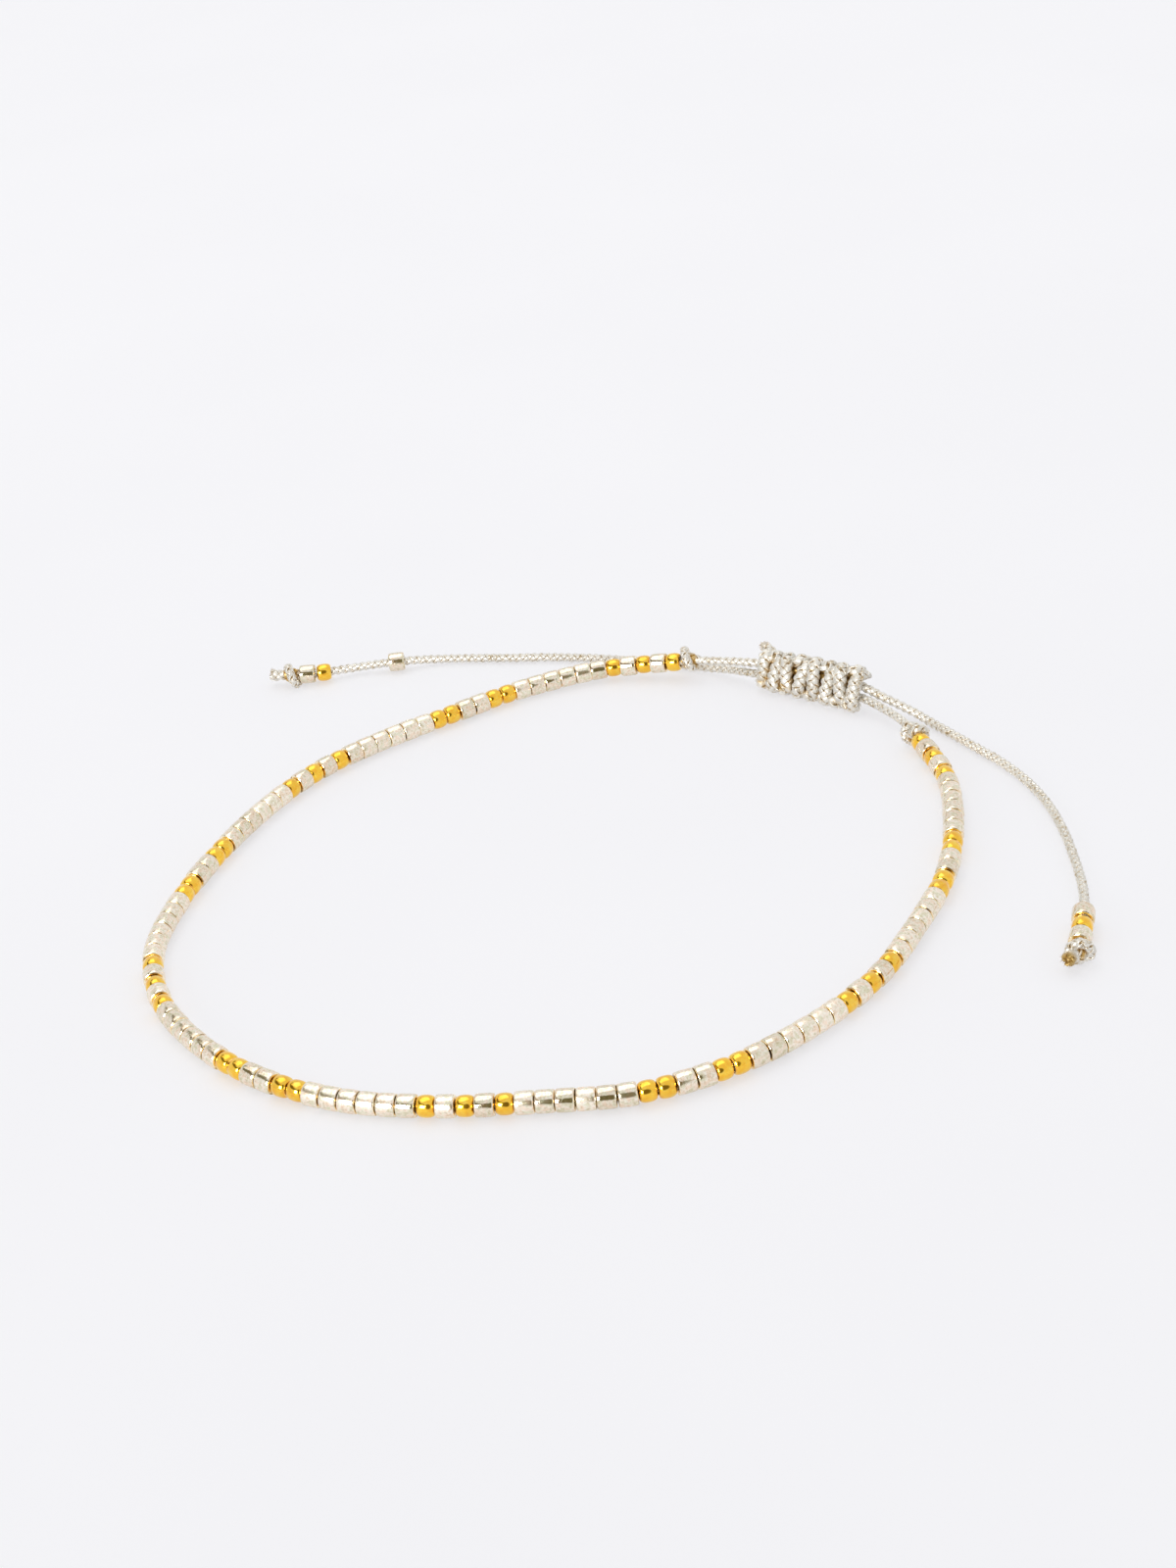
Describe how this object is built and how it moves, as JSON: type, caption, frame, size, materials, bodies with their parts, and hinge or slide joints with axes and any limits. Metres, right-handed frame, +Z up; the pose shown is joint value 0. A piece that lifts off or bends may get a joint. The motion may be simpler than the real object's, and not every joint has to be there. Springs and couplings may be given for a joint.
{
  "type": "beaded bracelet",
  "caption": "Slim adjustable bracelet of silver and gold seed beads on a metallic cord, with a sliding square-knot closure and two knotted, beaded tails.",
  "frame": {"origin": "on the surface it lies on, under the middle of the box round the beaded loop and its closure, without the tails", "axes": "+Z up from the surface; the closure lies towards +X and +Y, the left tail runs to -X behind the loop, the right tail to -Y beside it"},
  "size_m": [0.0659, 0.0639, 0.0036],
  "materials": {
    "silver_bead": "galvanised silver over glass, finely mottled",
    "gold_bead": "polished bright gold plating",
    "metallic_cord": "braided silver metallic thread with brownish flecks"
  },
  "bodies": {
    "root": {"bead_string": "silver_bead", "stop_knot_left": "metallic_cord", "stop_knot_right": "metallic_cord", "slide_knot": "metallic_cord", "cord_left": "metallic_cord", "cord_right": "metallic_cord", "left_tail_silver_inner": "silver_bead", "left_tail_gold": "gold_bead", "left_tail_silver_outer": "silver_bead", "end_knot_left": "metallic_cord", "right_tail_silver_inner": "silver_bead", "right_tail_gold": "gold_bead", "right_tail_silver_outer": "silver_bead", "end_knot_right": "metallic_cord"}
  },
  "joints": []
}
